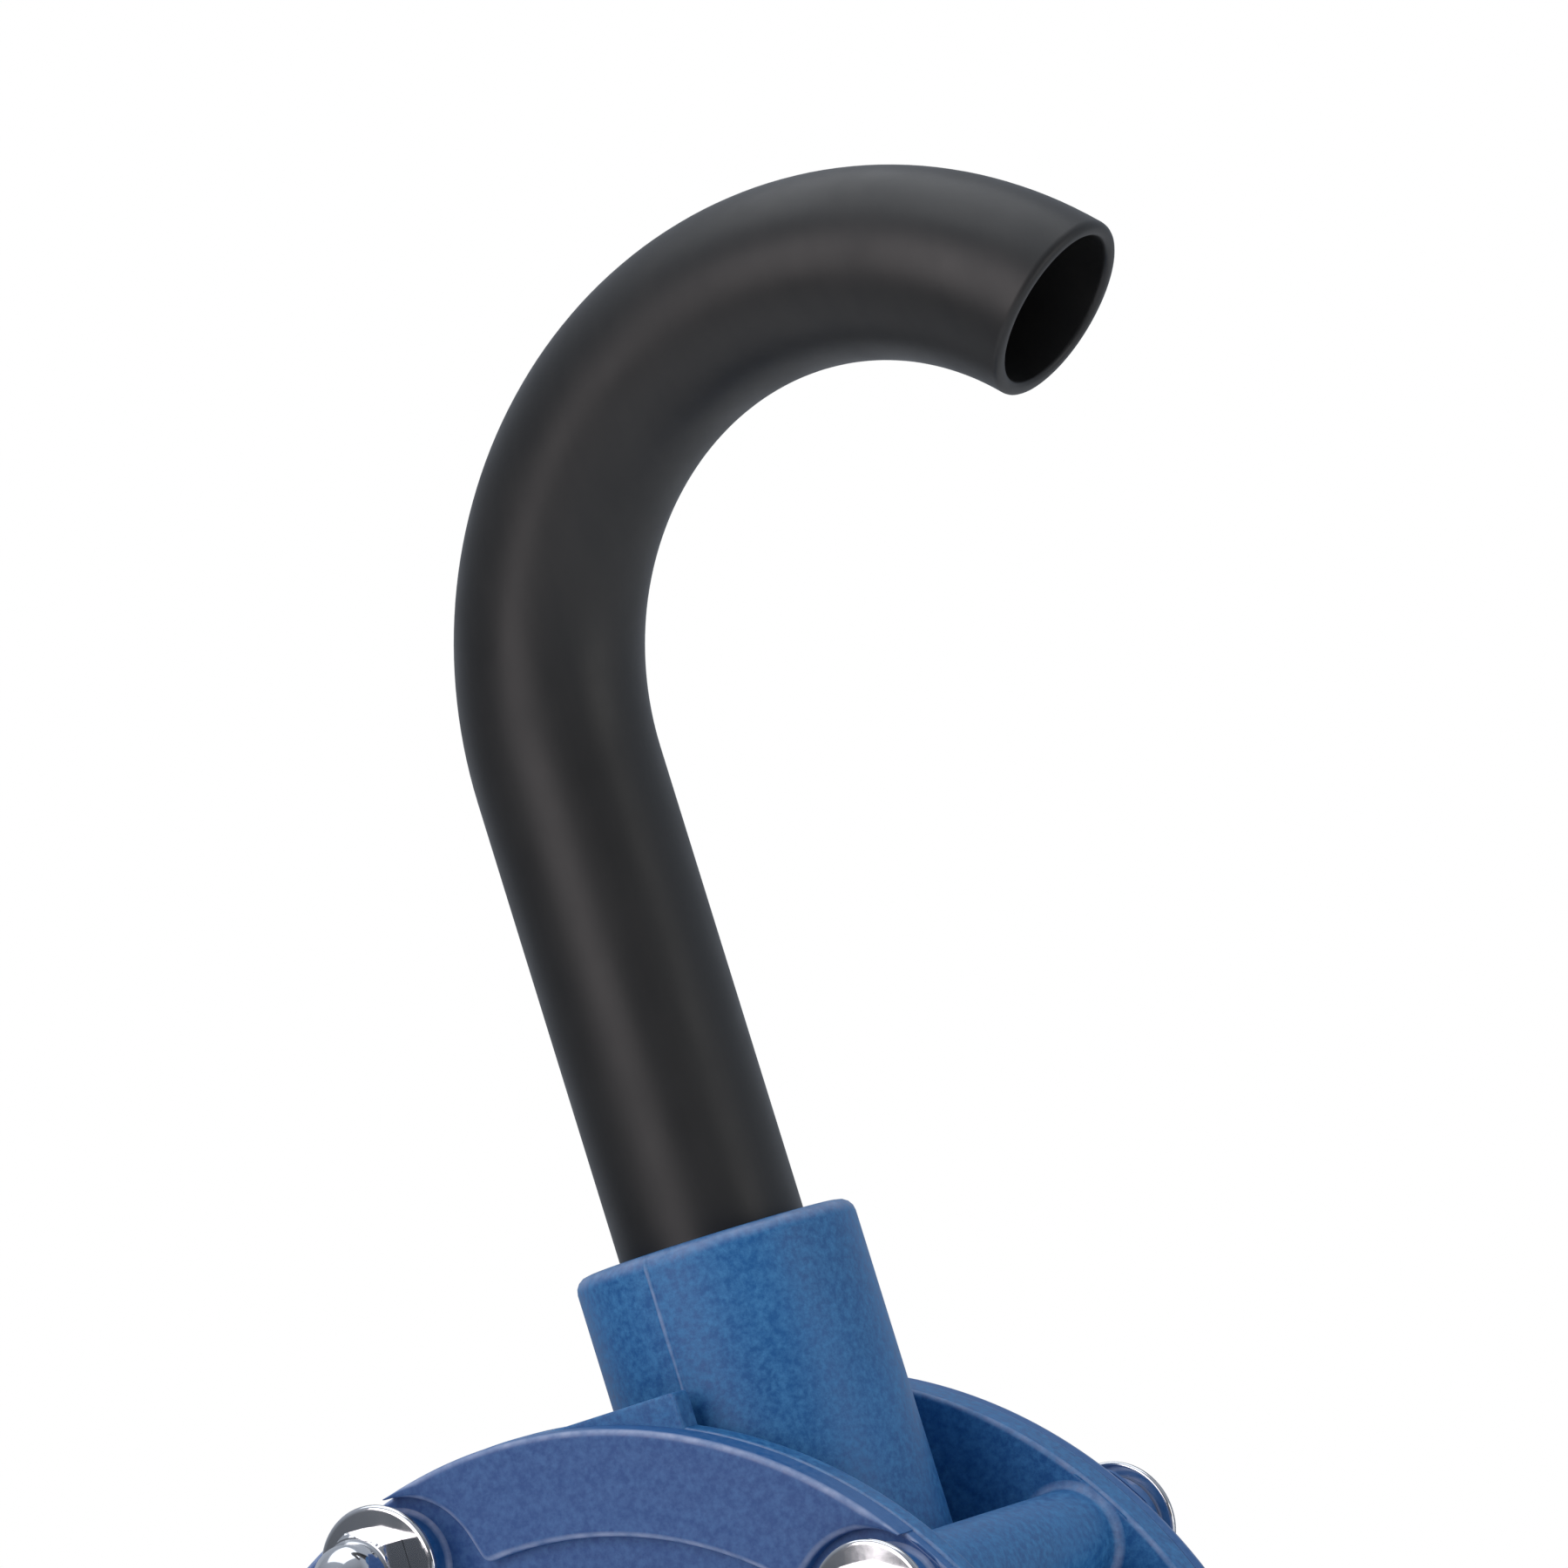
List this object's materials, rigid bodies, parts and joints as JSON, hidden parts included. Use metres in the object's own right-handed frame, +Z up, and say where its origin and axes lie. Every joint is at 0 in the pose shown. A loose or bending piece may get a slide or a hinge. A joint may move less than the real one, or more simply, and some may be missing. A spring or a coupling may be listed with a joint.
{
  "type": "hand rotary vane pump",
  "caption": "Hand-cranked rotary vane pump with a hooked discharge spout, round bolted casing, threaded bung adapter and telescopic suction tube.",
  "frame": {"origin": "on the ports' common axis, at the sealing plane of the bung adapter's gasket", "axes": "+Z up along the outlet socket and the suction tube, crank faces -Y, spout hooks towards +X"},
  "size_m": [0.2442, 0.2144, 0.677],
  "materials": {
    "casing_blue": "fine-grained moulded polypropylene, blue",
    "spout_black": "smooth satin black plastic pipe",
    "tube_black": "satin black plastic pipe and mouldings",
    "grip_black": "satin black moulded grip",
    "chrome": "bright chrome plate",
    "zinc_steel": "bright zinc-plated steel",
    "pin_steel": "turned steel",
    "shaft_steel": "ground stainless steel",
    "bronze": "sintered bronze",
    "seal_rubber": "black nitrile rubber",
    "rotor_plastic": "light grey moulded plastic",
    "vane_plastic": "off-white low-friction plastic"
  },
  "bodies": {
    "housing": {"pump_body": "casing_blue", "front_cover": "casing_blue", "rear_cover": "casing_blue", "front_cover_seal": "seal_rubber", "rear_cover_seal": "seal_rubber", "cover_bolts": "chrome", "front_washers": "chrome", "rear_washers": "chrome", "cap_nuts": "chrome", "front_bush": "bronze", "rear_bush": "bronze", "shaft_seal": "seal_rubber", "gland_nut": "casing_blue", "spout_seal": "seal_rubber", "inlet_seal": "seal_rubber", "bung_adapter": "casing_blue", "bung_gasket": "seal_rubber", "suction_tube_upper": "tube_black", "tube_collar": "tube_black", "collar_seal": "seal_rubber"},
    "spout": {"spout": "spout_black"},
    "crank": {"shaft": "shaft_steel", "rotor": "rotor_plastic", "rotor_key": "shaft_steel", "vane_1": "vane_plastic", "vane_2": "vane_plastic", "vane_3": "vane_plastic", "vane_4": "vane_plastic", "vane_springs": "shaft_steel", "crank_arm": "zinc_steel", "crank_washer": "zinc_steel", "crank_nut": "zinc_steel", "grip_pin": "pin_steel", "grip_nut": "zinc_steel"},
    "grip": {"grip": "grip_black"},
    "lower_tube": {"suction_tube_lower": "tube_black", "strainer": "tube_black"}
  },
  "joints": [
    {"name": "crank_spin", "type": "hinge", "parent": "housing", "child": "crank", "pos_m": [-0.031, 0, 0.119], "axis": [0, 1, 0], "continuous": true},
    {"name": "grip_spin", "type": "hinge", "parent": "crank", "child": "grip", "pos_m": [-0.031, -0.115, 0.004], "axis": [0, 1, 0], "continuous": true},
    {"name": "spout_swivel", "type": "hinge", "parent": "housing", "child": "spout", "pos_m": [0, 0, 0.23], "axis": [0, 0, 1], "continuous": true},
    {"name": "tube_extension", "type": "slide", "parent": "housing", "child": "lower_tube", "axis": [0, 0, -1], "range_m": [0, 0.15]}
  ]
}
